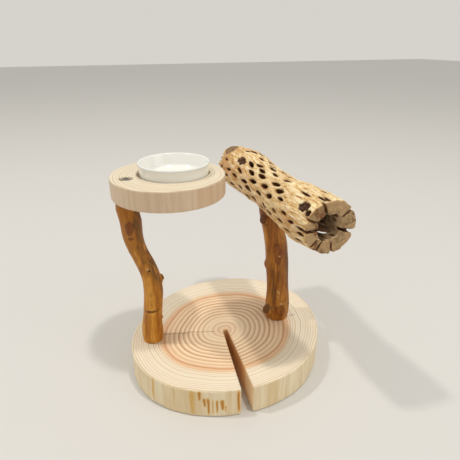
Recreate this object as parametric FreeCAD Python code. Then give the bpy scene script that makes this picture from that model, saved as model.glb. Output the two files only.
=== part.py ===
"""Table-top feeding and perch stand for a small pet.

A round log slice carries two peeled branches. The crooked branch holds a small round shelf with a
white dish let into it, and the straight branch holds a hollow, pierced length of cactus wood as a
perch. One washer-head wood screw fastens each joint.

Frame: millimetres, +Z up. The origin is the centre of the log slice on its underside, +Y runs along
the perch tube, and +X points from the shelf towards the perch.
"""

import FreeCAD, Part
import math
import os

V = FreeCAD.Vector
UP = V(0, 0, 1)
DOWN = V(0, 0, -1)

# Log-slice base
BASE_RADIUS = 100.0
# The rim swells in gentle lobes: (lobes round the rim, height, heading of one lobe in degrees from +X)
BASE_LOBES = ((1, 2.8, -39), (2, 6.1, 24), (3, 0.9, -55), (4, 1.0, 21))
BASE_OUTLINE_POINTS = 24
BASE_THICKNESS = 31.0
BASE_EDGE_ROUND = 1.6
PITH_X, PITH_Y = -4.0, -10.5
KERF_HEADING = -97.7  # degrees from +X, from the pith out to the rim
KERF_WIDTH_AT_PITH = 4.8
KERF_WIDTH_AT_RIM = 11.2
KERF_LENGTH = 88.0

# Branches: (x, y, z, radius) of the round sections, from the base up
SHELF_POST_SECTIONS = (
    (-79.0, 5.3, 31.0, 9.6),
    (-79.0, 5.3, 34.0, 10.3),
    (-78.2, 5.1, 55.0, 9.7),
    (-75.6, 4.3, 79.0, 9.5),
    (-75.6, 4.4, 101.0, 9.5),
    (-79.4, 6.0, 118.0, 9.5),
    (-84.8, 8.3, 132.0, 9.3),
    (-88.8, 10.0, 150.0, 9.5),
    (-89.9, 10.6, 168.0, 10.1),
    (-90.1, 10.7, 185.5, 10.4),
)
PERCH_POST_SECTIONS = (
    (60.3, -5.6, 31.0, 11.3),
    (60.3, -5.6, 34.0, 12.1),
    (60.8, -4.7, 62.0, 12.0),
    (59.6, -3.0, 92.0, 12.1),
    (57.6, -1.0, 120.0, 11.8),
    (53.6, 1.6, 142.0, 11.4),
    (51.0, 2.6, 168.0, 11.2),
)
# Twig stubs: (x, y, z) of the foot, direction, foot radius, tip radius, length
SHELF_POST_STUBS = (((-70.0, 4.0, 101.0), (0.90, -0.10, 0.42), 4.6, 2.6, 6.5),)
PERCH_POST_STUBS = (
    ((53.0, -6.0, 39.5), (-0.80, -0.25, 0.55), 5.4, 4.0, 9.0),
    ((49.5, 0.0, 138.0), (-0.80, -0.20, 0.56), 6.4, 4.6, 8.5),
)

# Shelf: a thin log slice with a recess for the dish
SHELF_X, SHELF_Y = -51.0, 13.0
SHELF_TOP = 205.0
SHELF_THICKNESS = 19.5
SHELF_RADIUS = 53.2
SHELF_EDGE_ROUND = 1.2
RECESS_X, RECESS_Y = SHELF_X + 5.6, SHELF_Y + 1.6
RECESS_RADIUS = 33.7
RECESS_DEPTH = 5.0

# Dish
DISH_X, DISH_Y = RECESS_X + 0.7, RECESS_Y - 0.4
DISH_HEIGHT = 15.6
DISH_RIM_RADIUS = 33.2
DISH_FOOT_RADIUS = 31.6
DISH_WALL = 2.9
DISH_FLOOR = 3.2
DISH_FLOOR_RADIUS = 27.8
DISH_LIP = 1.9
DISH_FOOT_RECESS = 0.8
DISH_FOOT_RING = 3.0

# Perch tube of pierced cactus wood, along Y
TUBE_X, TUBE_Z = 52.6, 179.6
TUBE_HALF_LENGTH = 101.5
TUBE_RADIUS = 22.6
# Radius factors, evenly spaced from the end at -Y to the end at +Y
TUBE_SWELL = (1.03, 1.11, 1.08, 0.99, 0.98, 1.00, 1.08, 1.10, 1.00)
TUBE_BORE_RADIUS = 11.5
TUBE_PETALS = 8  # lobes that the slots divide each end face into
TUBE_SLOT_WIDTH = 1.6
TUBE_SLOT_DEPTH = 8.0
# The holes follow one spiral: each is a step further along and a turn further round than the last
HOLE_STEP = 1.334
HOLE_TURN = 106.5
HOLE_LENGTH = 10.5
HOLE_WIDTH = 3.4
FIRST_HOLE_Y, FIRST_HOLE_ANGLE = -99.2, 131.0
# Knot holes: (distance along the tube, angle up from +X, length, width)
KNOT_HOLES = ((-88.0, 138.0, 13.0, 8.0), (50.5, 128.0, 17.0, 9.5))

# Fasteners
SCREW_HEAD_RADIUS = 5.6
SCREW_HEAD_HEIGHT = 2.3
SCREW_CROWN_RADIUS = 4.2  # where the domed crown meets the flat washer flange
SCREW_FLANGE = 0.6
SCREW_CORE_RADIUS = 1.5
SCREW_THREAD_RADIUS = 2.1
SCREW_THREAD_PITCH = 2.2
SCREW_PLAIN_SHANK = 10.0
SCREW_TIP = 5.0
CROSS_SPAN, CROSS_WIDTH, CROSS_DEPTH = 4.4, 1.0, 1.5
CROSS_TURN = 20.0
TOP_SCREW_LENGTH = 38.0
BASE_SCREW_LENGTH = 45.0
COUNTERBORE_RADIUS = 6.3
SHELF_COUNTERBORE_DEPTH = 2.6
BASE_COUNTERBORE_DEPTH = 9.0
WASHER_RADIUS = 6.0
WASHER_THICKNESS = 1.0
WASHER_SEAT_DROP = 0.8  # how far the washer's flat seat lies below the bore's lowest line
DRIVER_HOLE_RADIUS = 2.6

SHELF_UNDERSIDE = SHELF_TOP - SHELF_THICKNESS
SHELF_SCREW_AT = V(-90.0, 10.7, SHELF_TOP - SHELF_COUNTERBORE_DEPTH)
SHELF_POST_SCREW_AT = V(-79.0, 5.3, BASE_COUNTERBORE_DEPTH)
PERCH_POST_SCREW_AT = V(60.3, -5.6, BASE_COUNTERBORE_DEPTH)
PERCH_Y = 2.5
WASHER_SEAT_Z = TUBE_Z - TUBE_BORE_RADIUS - WASHER_SEAT_DROP
PERCH_SCREW_AT = V(TUBE_X, PERCH_Y, WASHER_SEAT_Z + WASHER_THICKNESS)


def closed_spline(points):
    """A closed smooth wire through the points."""
    curve = Part.BSplineCurve()
    curve.interpolate(Points=points, PeriodicFlag=True)
    return Part.Wire([curve.toShape()])


def cylinder(x, y, z, radius, height):
    return Part.makeCylinder(radius, height, V(x, y, z), UP)


def one_solid(shape):
    """The shape's largest solid, with coplanar faces merged. Holes that meet can cut small chips loose."""
    return max(shape.removeSplitter().Solids, key=lambda solid: solid.Volume)


def revolved(profile, origin, direction=UP):
    """Turns a closed (radius, height) profile about an axis through origin along direction."""
    points = [V(r, 0, h) for r, h in profile]
    face = Part.Face(Part.makePolygon(points + points[:1]))
    solid = face.revolve(V(0, 0, 0), UP, 360)
    solid.Placement = FreeCAD.Placement(origin, FreeCAD.Rotation(UP, direction))
    return solid


def screw_profile(length):
    """Half section of a washer-head wood screw: its head stands on z = 0 and its point is at -length."""
    crown, flange = SCREW_CROWN_RADIUS, SCREW_FLANGE
    top = SCREW_HEAD_HEIGHT
    profile = [(0, top), (crown * 0.5, top), (crown * 0.88, top * 0.7), (crown, flange + 0.2)]
    profile += [(SCREW_HEAD_RADIUS, flange), (SCREW_HEAD_RADIUS, 0)]
    profile += [(SCREW_THREAD_RADIUS, 0), (SCREW_THREAD_RADIUS, -SCREW_PLAIN_SHANK)]
    profile += [(SCREW_CORE_RADIUS, -SCREW_PLAIN_SHANK - 0.6)]
    ridges = int((length - SCREW_PLAIN_SHANK - SCREW_TIP) / SCREW_THREAD_PITCH)
    for i in range(ridges):
        crest = -SCREW_PLAIN_SHANK - (i + 0.75) * SCREW_THREAD_PITCH
        profile += [(SCREW_CORE_RADIUS, crest + 0.6), (SCREW_THREAD_RADIUS, crest)]
        profile += [(SCREW_CORE_RADIUS, crest - 0.6)]
    return profile + [(SCREW_CORE_RADIUS, SCREW_TIP - length), (0.25, 0.3 - length), (0, -length)]


def screw(at, length, direction=UP):
    """A wood screw with its head along direction: the screw, and the same without its cross recess."""
    blank = revolved(screw_profile(length), at, direction)
    slots = []
    for turn in (CROSS_TURN, CROSS_TURN + 90):
        slot = Part.makeBox(CROSS_SPAN, CROSS_WIDTH, CROSS_DEPTH + 1)
        slot.translate(V(-CROSS_SPAN / 2, -CROSS_WIDTH / 2, SCREW_HEAD_HEIGHT - CROSS_DEPTH))
        slot.rotate(V(0, 0, 0), UP, turn)
        slots.append(slot)
    cross = slots[0].fuse(slots[1])
    cross.Placement = FreeCAD.Placement(at, FreeCAD.Rotation(UP, direction))
    return one_solid(blank.cut(cross)), blank


def branch(sections, stubs):
    """A peeled branch: a smooth loft through round sections, with cut twig stubs on it."""
    wires = []
    for x, y, z, radius in sections:
        wires.append(Part.Wire([Part.Circle(V(x, y, z), UP, radius).toShape()]))
    wood = Part.makeLoft(wires, True, False)
    for foot, direction, foot_radius, tip_radius, length in stubs:
        wood = wood.fuse(Part.makeCone(foot_radius, tip_radius, length, V(*foot), V(*direction)))
    return one_solid(wood)


def kerf():
    """The drying kerf: a wedge from the pith to the rim, round at its inner end, through the slab."""
    height = BASE_THICKNESS + 4
    inner, outer = KERF_WIDTH_AT_PITH / 2, KERF_WIDTH_AT_RIM / 2
    reach = KERF_LENGTH * 1.2
    outer = inner + (outer - inner) * reach / KERF_LENGTH
    corners = [V(0, -inner, 0), V(reach, -outer, 0), V(reach, outer, 0), V(0, inner, 0)]
    wedge = Part.Face(Part.makePolygon(corners + corners[:1])).extrude(V(0, 0, height))
    wedge = wedge.fuse(cylinder(0, 0, 0, inner, height))
    wedge.rotate(V(0, 0, 0), UP, KERF_HEADING)
    wedge.translate(V(PITH_X, PITH_Y, -2))
    return wedge


def base_rim(heading):
    """A point on the base's rim, at a heading in radians from +X."""
    radius = BASE_RADIUS
    for lobes, height, peak in BASE_LOBES:
        radius += height * math.cos(lobes * (heading - math.radians(peak)))
    return V(radius * math.cos(heading), radius * math.sin(heading), 0)


def base_slab(fasteners):
    rim = [base_rim(2 * math.pi * i / BASE_OUTLINE_POINTS) for i in range(BASE_OUTLINE_POINTS)]
    slab = Part.Face(closed_spline(rim)).extrude(V(0, 0, BASE_THICKNESS))
    top_edge = [e for e in slab.Edges if min(v.Z for v in e.Vertexes) > BASE_THICKNESS - 0.01]
    slab = slab.makeFillet(BASE_EDGE_ROUND, top_edge)
    slab = slab.cut(kerf())
    for at in (SHELF_POST_SCREW_AT, PERCH_POST_SCREW_AT):
        slab = slab.cut(cylinder(at.x, at.y, -1, COUNTERBORE_RADIUS, BASE_COUNTERBORE_DEPTH + 1))
    return one_solid(slab.cut(fasteners))


def shelf_disc(fastener):
    disc = cylinder(SHELF_X, SHELF_Y, SHELF_UNDERSIDE, SHELF_RADIUS, SHELF_THICKNESS)
    edges = [e for e in disc.Edges if e.Curve.TypeId == "Part::GeomCircle"]
    disc = disc.makeFillet(SHELF_EDGE_ROUND, edges)
    floor = SHELF_TOP - RECESS_DEPTH
    disc = disc.cut(cylinder(RECESS_X, RECESS_Y, floor, RECESS_RADIUS, RECESS_DEPTH + 1))
    at = SHELF_SCREW_AT
    disc = disc.cut(cylinder(at.x, at.y, at.z, COUNTERBORE_RADIUS, SHELF_COUNTERBORE_DEPTH + 1))
    return one_solid(disc.cut(fastener))


def dish():
    top = DISH_HEIGHT
    ring = DISH_FOOT_RADIUS - DISH_FOOT_RING
    inner_rim = DISH_RIM_RADIUS - DISH_WALL
    profile = [(0, DISH_FOOT_RECESS), (ring - 0.6, DISH_FOOT_RECESS), (ring, 0)]
    profile += [(DISH_FOOT_RADIUS - 0.8, 0), (DISH_FOOT_RADIUS, 0.8)]
    profile += [(DISH_RIM_RADIUS - 0.6, top - 3.4), (DISH_RIM_RADIUS, top - 2.2)]
    profile += [(DISH_RIM_RADIUS, top - 0.6), (DISH_RIM_RADIUS - 0.6, top)]
    profile += [(DISH_RIM_RADIUS - DISH_LIP + 0.4, top), (DISH_RIM_RADIUS - DISH_LIP - 0.3, top - 0.6)]
    profile += [(inner_rim, top - 3.0), (DISH_FLOOR_RADIUS + 0.6, DISH_FLOOR + 2.2)]
    profile += [(DISH_FLOOR_RADIUS - 0.4, DISH_FLOOR + 0.6), (DISH_FLOOR_RADIUS - 2.2, DISH_FLOOR)]
    profile += [(0, DISH_FLOOR)]
    return revolved(profile, V(DISH_X, DISH_Y, SHELF_TOP - RECESS_DEPTH))


def tube_outside():
    """The perch tube's outer form, without its bore or holes: a gently swelling bar along Y."""
    gaps = len(TUBE_SWELL) - 1
    stations = [TUBE_HALF_LENGTH * (2 * i / gaps - 1) for i in range(gaps + 1)]
    side_points = [V(TUBE_RADIUS * swell, y, 0) for swell, y in zip(TUBE_SWELL, stations)]
    side = Part.BSplineCurve()
    side.interpolate(side_points)
    front, back = side_points[0], side_points[-1]
    ends = Part.makePolygon([back, V(0, back.y, 0), V(0, front.y, 0), front])
    half_section = Part.Face(Part.Wire([side.toShape()] + ends.Edges))
    bar = half_section.revolve(V(0, 0, 0), V(0, 1, 0), 360)
    bar.translate(V(TUBE_X, 0, TUBE_Z))
    return bar


def lens_hole(y, angle, length, width):
    """A lens-shaped cutter through one wall of the tube, at an angle up from +X, long along the tube."""
    tip, side = V(length / 2, 0, 0), V(0, width / 2, 0)
    lens = Part.Wire([Part.Arc(tip, side, -tip).toShape(), Part.Arc(-tip, -side, tip).toShape()])
    wall_inside, wall_outside = TUBE_BORE_RADIUS - 3, TUBE_RADIUS + 4
    cutter = Part.Face(lens).extrude(V(0, 0, wall_outside - wall_inside))
    cutter.translate(V(0, 0, wall_inside))
    cutter.rotate(V(0, 0, 0), UP, 90)
    cutter.rotate(V(0, 0, 0), V(0, 1, 0), 90 - angle)
    cutter.translate(V(TUBE_X, y, TUBE_Z))
    return cutter


def near(y, angle, other_y, other_angle, along, around):
    """Whether two places on the tube's wall are closer than the given distance and angle."""
    turn = (angle - other_angle + 180) % 360 - 180
    return abs(y - other_y) < along and abs(turn) < around


def tube_holes():
    """Lens holes along the spiral, apart from the solid wall over the post and round the knots."""
    cutters = [lens_hole(*knot) for knot in KNOT_HOLES]
    for i in range(int((TUBE_HALF_LENGTH - FIRST_HOLE_Y) / HOLE_STEP)):
        y, angle = FIRST_HOLE_Y + i * HOLE_STEP, FIRST_HOLE_ANGLE + i * HOLE_TURN
        over_post = near(y, angle, PERCH_Y, 270, 18, 40)
        at_knot = any(near(y, angle, knot[0], knot[1], 14, 21) for knot in KNOT_HOLES)
        if not over_post and not at_knot:
            cutters.append(lens_hole(y, angle, HOLE_LENGTH, HOLE_WIDTH))
    return cutters


def end_slots():
    """Radial slots that part each end face into petals."""
    cutters = []
    for end in (-1, 1):
        for i in range(TUBE_PETALS):
            slot = Part.makeBox(TUBE_RADIUS + 4, 2 * TUBE_SLOT_DEPTH, TUBE_SLOT_WIDTH)
            slot.translate(V(0, end * TUBE_HALF_LENGTH - TUBE_SLOT_DEPTH, -TUBE_SLOT_WIDTH / 2))
            slot.rotate(V(0, 0, 0), V(0, 1, 0), 360.0 * i / TUBE_PETALS)
            slot.translate(V(TUBE_X, 0, TUBE_Z))
            cutters.append(slot)
    return cutters


def perch_tube(fastener):
    bore_start = V(TUBE_X, -TUBE_HALF_LENGTH - 1, TUBE_Z)
    bore = Part.makeCylinder(TUBE_BORE_RADIUS, 2 * TUBE_HALF_LENGTH + 2, bore_start, V(0, 1, 0))
    wall = tube_outside().cut(bore)
    wall = wall.cut(tube_holes() + end_slots())
    seat = cylinder(TUBE_X, PERCH_Y, WASHER_SEAT_Z, COUNTERBORE_RADIUS, TUBE_BORE_RADIUS)
    driver = cylinder(TUBE_X, PERCH_Y, TUBE_Z, DRIVER_HOLE_RADIUS, TUBE_RADIUS + 4)
    return one_solid(wall.cut([seat, driver, fastener]))


def washer():
    ring = cylinder(TUBE_X, PERCH_Y, WASHER_SEAT_Z, WASHER_RADIUS, WASHER_THICKNESS)
    return ring.cut(cylinder(TUBE_X, PERCH_Y, WASHER_SEAT_Z, SCREW_THREAD_RADIUS, WASHER_THICKNESS))


def build():
    """Every piece by name. Each wooden piece is cut by the blanks of the screws that pass into it."""
    shelf_screw, shelf_screw_blank = screw(SHELF_SCREW_AT, TOP_SCREW_LENGTH)
    perch_screw, perch_screw_blank = screw(PERCH_SCREW_AT, TOP_SCREW_LENGTH)
    shelf_post_screw, shelf_post_blank = screw(SHELF_POST_SCREW_AT, BASE_SCREW_LENGTH, DOWN)
    perch_post_screw, perch_post_blank = screw(PERCH_POST_SCREW_AT, BASE_SCREW_LENGTH, DOWN)

    shelf_post = branch(SHELF_POST_SECTIONS, SHELF_POST_STUBS)
    perch_post = branch(PERCH_POST_SECTIONS, PERCH_POST_STUBS).cut(tube_outside())
    return {
        "base_slab": base_slab([shelf_post_blank, perch_post_blank]),
        "shelf_post": one_solid(shelf_post.cut([shelf_screw_blank, shelf_post_blank])),
        "perch_post": one_solid(perch_post.cut([perch_screw_blank, perch_post_blank])),
        "shelf_disc": shelf_disc(shelf_screw_blank),
        "dish": dish(),
        "perch_tube": perch_tube(perch_screw_blank),
        "perch_washer": washer(),
        "shelf_screw": shelf_screw,
        "perch_screw": perch_screw,
        "shelf_post_screw": shelf_post_screw,
        "perch_post_screw": perch_post_screw,
    }


def main():
    os.makedirs("parts", exist_ok=True)
    for name, shape in build().items():
        shape.exportStep(os.path.join("parts", name + ".step"))
        print(f"{name:18s} valid {shape.isValid()} solids {len(shape.Solids)} volume {shape.Volume:.0f}")


main()
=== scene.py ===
"""Looks of the table-top feeding and perch stand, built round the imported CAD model.

The slice of log, its two posts, the shelf and the cholla perch are carved from fields: a field gives
each point of a box its distance to the surface, negative inside the wood, and surface_net() meshes it.
Fields and sizes are in millimetres in the row frame. Blender's own values are in metres.
"""

import math
from collections import namedtuple

import bpy
import numpy as np
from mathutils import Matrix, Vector

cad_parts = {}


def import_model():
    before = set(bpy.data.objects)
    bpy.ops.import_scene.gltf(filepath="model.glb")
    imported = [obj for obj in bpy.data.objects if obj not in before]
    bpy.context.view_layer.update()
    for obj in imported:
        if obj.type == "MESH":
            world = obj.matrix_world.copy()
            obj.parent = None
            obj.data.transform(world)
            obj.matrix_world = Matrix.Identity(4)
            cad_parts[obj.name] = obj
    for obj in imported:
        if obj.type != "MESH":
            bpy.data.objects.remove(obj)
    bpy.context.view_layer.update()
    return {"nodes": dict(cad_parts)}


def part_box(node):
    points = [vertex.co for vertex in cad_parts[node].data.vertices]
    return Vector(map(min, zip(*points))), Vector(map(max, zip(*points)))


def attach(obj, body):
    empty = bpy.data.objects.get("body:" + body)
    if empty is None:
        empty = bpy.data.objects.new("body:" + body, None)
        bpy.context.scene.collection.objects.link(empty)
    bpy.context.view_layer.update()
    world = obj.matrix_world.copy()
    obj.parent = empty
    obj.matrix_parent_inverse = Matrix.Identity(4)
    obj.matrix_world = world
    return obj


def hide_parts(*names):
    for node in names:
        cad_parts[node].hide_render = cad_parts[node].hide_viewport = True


MM = 0.001
STAND = "stand"
LOOSE = "loose_dish"

# Base: a slice of log with a wedge sawn out from its rim to just past its pith.
BASE_RADIUS = 100.0
BASE_LOBES = ((1, 2.8, -39.0), (2, 6.1, 24.0), (3, 0.9, -55.0), (4, 1.0, 21.0))
BASE_THICKNESS = 31.0
BASE_EDGE_ROUND = 1.8
# How far the peeled side lies inside the radius, for its flutes.
BARK_INSET = 0.2
PITH = (-4.0, -10.5)
KERF_HEADING = math.radians(-97.7)
KERF_WIDTH_AT_PITH = 4.8
KERF_WIDTH_AT_RIM = 11.2
KERF_LENGTH = 88.0
HEARTWOOD_SHARE = 0.70
# A drying check in the top, then a thin painted shadow beside the right post's foot: heading from the pith
# in degrees, start, end and half width.
CHECK_AND_PAINTED_SHADOW_LINES = ((164.5, 6.0, 66.0, 0.45), (-1.5, 70.0, 84.0, 0.5))
CHECK_WAVER = 6.0
# Golden-brown runs down the side: heading in degrees, top, bottom, half width and strength.
BASE_STAINS = (
    (-128.0, 31.0, 1.0, 3.6, 0.50),
    (-124.5, 30.0, 19.0, 1.6, 1.0),
    (-122.0, 22.0, 12.0, 1.5, 1.0),
    (-119.8, 22.0, 3.0, 1.3, 0.95),
    (-117.6, 20.0, 4.0, 0.9, 0.8),
    (-115.2, 20.0, 5.0, 1.0, 0.9),
    (-112.8, 20.0, 8.0, 1.8, 1.0),
    (-110.8, 13.0, 6.0, 1.0, 0.6),
    (-104.0, 29.0, 4.0, 2.0, 0.85),
    (-138.0, 31.0, 4.0, 1.0, 0.35),
    (-151.0, 31.0, 2.0, 1.5, 0.45),
    (-86.0, 25.0, 4.0, 1.4, 0.35),
)

# How far a post's flat ends go into the wood they stand against.
POST_SUNK = 0.2

# Screws under the base, and the one in the shelf.
SHELF_POST_SCREW = (-79.0, 5.3)
PERCH_POST_SCREW = (60.3, -5.6)
SHELF_SCREW = (-90.0, 10.7)
COUNTERBORE_RADIUS = 6.3
BASE_COUNTERBORE_DEPTH = 9.0
SHELF_COUNTERBORE_DEPTH = 2.6

# Shelf and dish.
SHELF_CENTRE = (-51.0, 13.0)
SHELF_TOP = 205.0
SHELF_THICKNESS = 19.5
SHELF_RADIUS = 53.2
RECESS_CENTRE = (-45.4, 14.6)
RECESS_RADIUS = 33.7
RECESS_DEPTH = 5.0
DISH_CENTRE = (-44.7, 14.2)
DISH_HEIGHT = 15.6
DISH_RIM_RADIUS = 33.2
DISH_FOOT_RADIUS = 32.2
DISH_WALL = 2.9
DISH_LIP = 1.9
DISH_FLOOR_RADIUS = 27.8
DISH_FLOOR = 3.2
DISH_FOOT_RING = 3.0
DISH_FOOT_RECESS = 0.8

# Perch: a hollow cholla branch along Y. Angles go up from +X, round the branch.
PERCH_X = 52.6
PERCH_Z = 179.6
PERCH_HALF_LENGTH = 101.5
# The sawn ends and the outside stay this far in, for their roughness.
PERCH_END_INSET = 0.4
FIBRE_INSET = 0.3
PERCH_RADIUS = 22.6
PERCH_SWELL = (1.03, 1.11, 1.08, 0.99, 0.98, 1.00, 1.08, 1.10, 1.00)
# How far the branch's centre line strays towards one side, at the same even steps along it as its swell.
PERCH_BEND = (-0.4, -1.2, -1.2, -1.3, -0.2, 0.4, 2.0, 1.5, 0.3)
PERCH_BEND_ANGLE = math.radians(54)
BORE_RADIUS = 11.5
PERCH_POST_Y = 2.5
DRIVER_HOLE_RADIUS = 2.6
# The holes follow the CAD model's spiral: each is a step further along and a turn further round.
HOLE_STEP = 1.334
HOLE_TURN = math.radians(106.5)
FIRST_HOLE_Y = -99.2
FIRST_HOLE_ANGLE = math.radians(131.0)
# The largest holes, in the middle of the side that the photograph shows: (distance along Y, degrees).
BIG_HOLES = ((-44, 136), (-32, 159), (-16, 146), (-1, 130), (8, 155), (19, 138), (16, 182), (32, 120))
# Long holes and cracks: distance along Y, degrees, half length, half width.
CRACKS = ((-96, 181, 8.5, 0.9), (-75, 111, 7.0, 0.9), (56, 84, 8.0, 1.7), (-92, 99, 5.5, 1.1))
# The hole under the near end that daylight shows through.
DAYLIGHT_HOLE = (-77.5, -57.5, 14.0, 5.0)
# Knot hollows, and the flat scar of a sawn-off branch: distance, degrees, half length, half width.
KNOTS = ((-88.0, 137.0, 7.5, 5.0), (-96.5, 144.0, 3.0, 2.6), (49.0, 131.0, 9.5, 5.0))
SCAR = (88.0, 117.0, 13.0, 9.0)
# How deep a knot's hollow is, how far the surface swells about it, and how far past its edge.
KNOT_HOLLOW = 4.6
KNOT_LUMP = 0.8
KNOT_LUMP_MARGIN = 3.0
# How far the surface swells under the scar, and how high its face is in the middle and more at its ends.
SCAR_LUMP = 4.2
SCAR_FACE_HEIGHT = 1.0
SCAR_HOLLOW = 1.9
# The near end flares towards one side.
NEAR_FLARE = 1.9
NEAR_FLARE_LENGTH = 20.0
NEAR_FLARE_ANGLE = math.radians(-5)
# Smooth wood without small holes: distance along Y, degrees.
SMOOTH_PLACE = (-66.0, 97.0)
# How far the surface sinks towards a hole's rim, and over what distance.
RIM_DIP = 0.8
RIM_DIP_WIDTH = 1.8
RIM_ROUNDING = 0.45
PETAL_ROUNDING = 2.2
# The heading round the branch where the sawn ends' petals are painted darkest: painted shade on that side,
# with a redder tone.
PETAL_PAINTED_SHADE_ANGLE = math.radians(175)
# Slits in the near face: degrees, half length, half width.
NEAR_SLITS = (
    (109, 5.0, 0.9),
    (35, 4.0, 0.55),
    (-15, 7.0, 1.3),
    (-81, 3.5, 0.7),
    (-138, 3.0, 0.5),
    (-177, 6.0, 0.6),
    (156, 5.0, 0.6),
)
HOLE_SEED = 21
# Tan and orange-brown patches: distance along Y, angle, half length, half width round, strength.
TAN_PATCHES = (
    (45, 168, 24, 15, 1.0),
    (80, 170, 32, 26, 1.0),
    (84, 140, 26, 20, 0.8),
    (-76, 186, 17, 13, 1.0),
    (-62, 141, 12, 8, 0.6),
    (5, 163, 15, 8, 0.5),
    (64, 131, 16, 12, 0.5),
    (-20, 205, 60, 10, 0.5),
)


def colour(red, green, blue):
    """A screen colour, 0 to 255 a channel, as the linear colour that Blender's sockets take."""
    linear = []
    for channel in (red, green, blue):
        share = channel / 255
        low = share / 12.92
        high = ((share + 0.055) / 1.055) ** 2.4
        linear.append(low if share <= 0.04045 else high)
    return (*linear, 1.0)


# ---- fields


def smooth_max(a, b, width):
    """The larger of two fields, with the corner between them rounded over that width."""
    overlap = np.clip(width - np.abs(a - b), 0, None)
    return np.maximum(a, b) + overlap * overlap / (4 * width)


def smooth_min(a, b, width):
    """The smaller of two fields, with the corner between them rounded over that width."""
    return -smooth_max(-a, -b, width)


def step(values, start, end):
    """0 before start, 1 after end, and a smooth rise between."""
    share = np.clip((values - start) / (end - start), 0, 1)
    return share * share * (3 - 2 * share)


def ripple(points, spacing, seed, stretch=(1, 1, 1)):
    """A smooth random value of about -1 to 1, with bumps spacing apart, drawn out by stretch."""
    rng = np.random.default_rng(seed)
    waves = 9
    total = np.zeros(points.shape[:-1])
    for _ in range(waves):
        way = rng.normal(size=3)
        way *= 2 * math.pi / (spacing * rng.uniform(0.75, 1.5) * np.linalg.norm(way))
        total += np.cos(points @ (way / np.array(stretch)) + rng.uniform(0, 2 * math.pi))
    return total / math.sqrt(2 * waves)


def from_centre(points, centre):
    """Horizontal distance from an upright line."""
    return np.hypot(points[..., 0] - centre[0], points[..., 1] - centre[1])


def heading_of(points):
    """The heading of points round the frame's upright axis."""
    return np.arctan2(points[..., 1], points[..., 0])


def turn_between(angle, other):
    """The signed turn from one angle to another, the short way round, in radians."""
    return (angle - other + math.pi) % (2 * math.pi) - math.pi


def box_points(low, high, cell):
    """The grid of points that a field is worked out at: a box with two cells to spare all round."""
    axes = [np.arange(a - 2 * cell, b + 3 * cell, cell) for a, b in zip(low, high)]
    return np.stack(np.meshgrid(*axes, indexing="ij"), -1)


def slab_of(array, axis, start, stop):
    """The part of an array between two indexes of one axis."""
    cut = [slice(None)] * array.ndim
    cut[axis] = slice(start, stop)
    return array[tuple(cut)]


def surface_net(field, low, cell):
    """Vertices and four-sided faces of the surface where a field is 0: one vertex a cell."""
    inside = field < 0
    cells = tuple(n - 1 for n in field.shape)
    place = np.zeros(cells + (3,))
    count = np.zeros(cells)
    crossings = []
    for axis in range(3):
        u, v = (axis + 1) % 3, (axis + 2) % 3
        first, last = slab_of(field, axis, 0, -1), slab_of(field, axis, 1, None)
        crossed = slab_of(inside, axis, 0, -1) != slab_of(inside, axis, 1, None)
        crossings.append(crossed)
        share = np.where(crossed, first / np.where(crossed, first - last, 1), 0)
        for du in (0, 1):
            for dv in (0, 1):
                end_u, end_v = du - 1 or None, dv - 1 or None
                here = slab_of(slab_of(crossed, u, du, end_u), v, dv, end_v)
                place[..., axis] += slab_of(slab_of(share, u, du, end_u), v, dv, end_v)
                place[..., u] += here * du
                place[..., v] += here * dv
                count += here
    used = count > 0
    number = np.full(cells, -1)
    number[used] = np.arange(used.sum())
    vertices = low + cell * (np.argwhere(used) + place[used] / count[used][:, None])
    faces = []
    for axis in range(3):
        u, v = (axis + 1) % 3, (axis + 2) % 3
        at = np.argwhere(crossings[axis])
        quads = []
        for du, dv in ((1, 1), (0, 1), (0, 0), (1, 0)):
            cell_at = at.copy()
            cell_at[:, u] -= du
            cell_at[:, v] -= dv
            quads.append(number[tuple(cell_at.T)])
        quads = np.stack(quads, 1)
        outward = inside[tuple(at.T)]
        quads[~outward] = quads[~outward][:, ::-1]
        faces.append(quads)
    return vertices, np.concatenate(faces)


def relax(vertices, faces, rounds):
    """Evens out a net's vertices: each round moves them to their neighbours' mean and part back."""
    starts = faces.ravel()
    ends = np.roll(faces, -1, axis=1).ravel()
    pairs = np.concatenate((starts, ends)), np.concatenate((ends, starts))
    near = np.bincount(pairs[0], minlength=len(vertices))
    for _ in range(rounds):
        for amount in (0.5, -0.48):
            moved = np.empty_like(vertices)
            for axis in range(3):
                total = np.bincount(pairs[0], vertices[pairs[1], axis], minlength=len(vertices))
                moved[:, axis] = total / near
            vertices = vertices + amount * (moved - vertices)
    return vertices


def new_piece(name, vertices, faces, body, slot, material, *nodes):
    """A smooth mesh object, from vertices in millimetres, that rides on a body for CAD nodes."""
    mesh = bpy.data.meshes.new(name)
    mesh.from_pydata((np.asarray(vertices) * MM).tolist(), [], np.asarray(faces).tolist())
    mesh.validate()
    mesh.shade_smooth()
    mesh.materials.append(material)
    piece = bpy.data.objects.new(name, mesh)
    bpy.context.scene.collection.objects.link(piece)
    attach(piece, body)
    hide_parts(*nodes)
    return piece


def carve(name, field, marks, low, high, cell, material, slot, *nodes):
    """A wooden piece of the stand: meshes a field and stores the values that its material reads."""
    points = box_points(low, high, cell)
    vertices, faces = surface_net(field(points), points[0, 0, 0], cell)
    vertices = relax(vertices, faces, 2)
    piece = new_piece(name, vertices, faces, STAND, slot, material, *nodes)
    for label, values in marks(vertices).items():
        attribute = piece.data.attributes.new(label, "FLOAT", "POINT")
        attribute.data.foreach_set("value", np.asarray(values, np.float32))
    return piece


# ---- base


def base_rim(heading):
    """The slab's outer radius in a direction."""
    lobes = (height * np.cos(number * (heading - math.radians(peak))) for number, height, peak in BASE_LOBES)
    return BASE_RADIUS + sum(lobes)


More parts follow.
